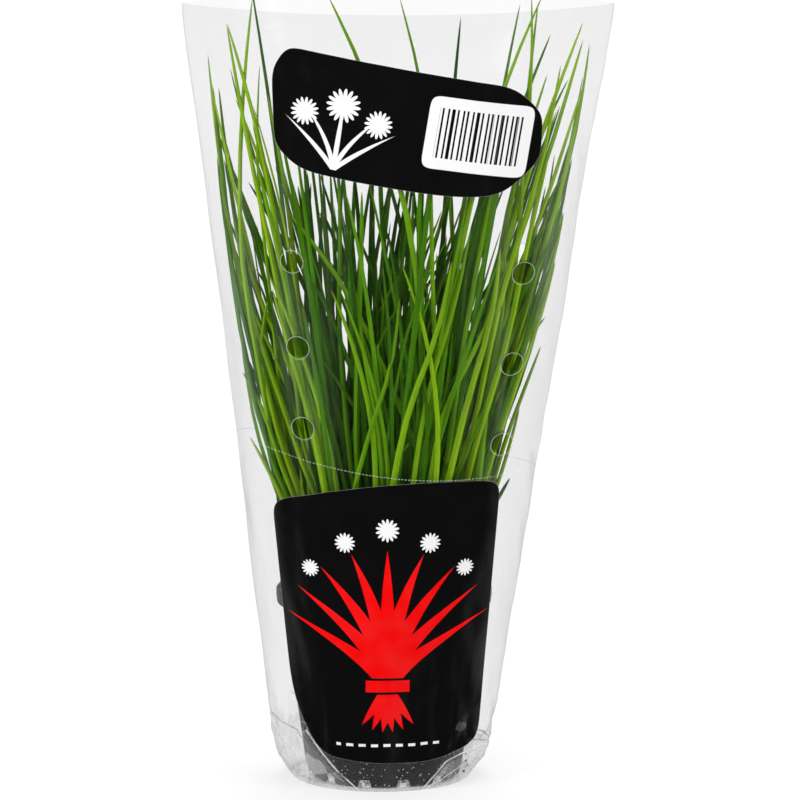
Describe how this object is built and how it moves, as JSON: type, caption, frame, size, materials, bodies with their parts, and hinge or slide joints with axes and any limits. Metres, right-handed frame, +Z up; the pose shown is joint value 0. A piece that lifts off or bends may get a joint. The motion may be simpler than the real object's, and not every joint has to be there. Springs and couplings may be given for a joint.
{
  "type": "chive plant",
  "caption": "Potted garlic chives: upright tufts of flat narrow leaves in potting mix, in a round tapered nursery pot standing in a clear flared film sleeve.",
  "frame": {"origin": "centre of the pot's foot, on the flat underside of the sleeve's floor, the plane that the object stands on", "axes": "+Z up along the pot's axis, -Y towards the printed front of the sleeve, +X to the right seen from the front"},
  "size_m": [0.1666, 0.104, 0.3143],
  "materials": {
    "pot_plastic": "moulded, slightly satin black",
    "potting_mix": "moist crumbly potting mix",
    "leaf": "waxy satin green",
    "clear_film": "clear glossy film with printed black panels"
  },
  "bodies": {
    "root": {"pot": "pot_plastic", "soil": "potting_mix", "sleeve": "clear_film", "tuft_01": "leaf", "tuft_02": "leaf", "tuft_03": "leaf", "tuft_04": "leaf", "tuft_05": "leaf", "tuft_06": "leaf", "tuft_07": "leaf", "tuft_08": "leaf", "tuft_09": "leaf", "tuft_10": "leaf", "tuft_11": "leaf", "tuft_12": "leaf", "tuft_13": "leaf", "tuft_14": "leaf", "tuft_15": "leaf", "tuft_16": "leaf", "tuft_17": "leaf", "tuft_18": "leaf", "tuft_19": "leaf", "tuft_20": "leaf", "tuft_21": "leaf", "tuft_22": "leaf", "tuft_23": "leaf", "tuft_24": "leaf", "tuft_25": "leaf", "tuft_26": "leaf", "tuft_27": "leaf", "tuft_28": "leaf", "tuft_29": "leaf", "tuft_30": "leaf", "tuft_31": "leaf", "tuft_32": "leaf", "tuft_33": "leaf", "tuft_34": "leaf", "tuft_35": "leaf", "tuft_36": "leaf", "tuft_37": "leaf", "tuft_38": "leaf", "tuft_39": "leaf", "tuft_40": "leaf", "tuft_41": "leaf", "tuft_42": "leaf", "tuft_43": "leaf", "tuft_44": "leaf", "tuft_45": "leaf"}
  },
  "joints": []
}
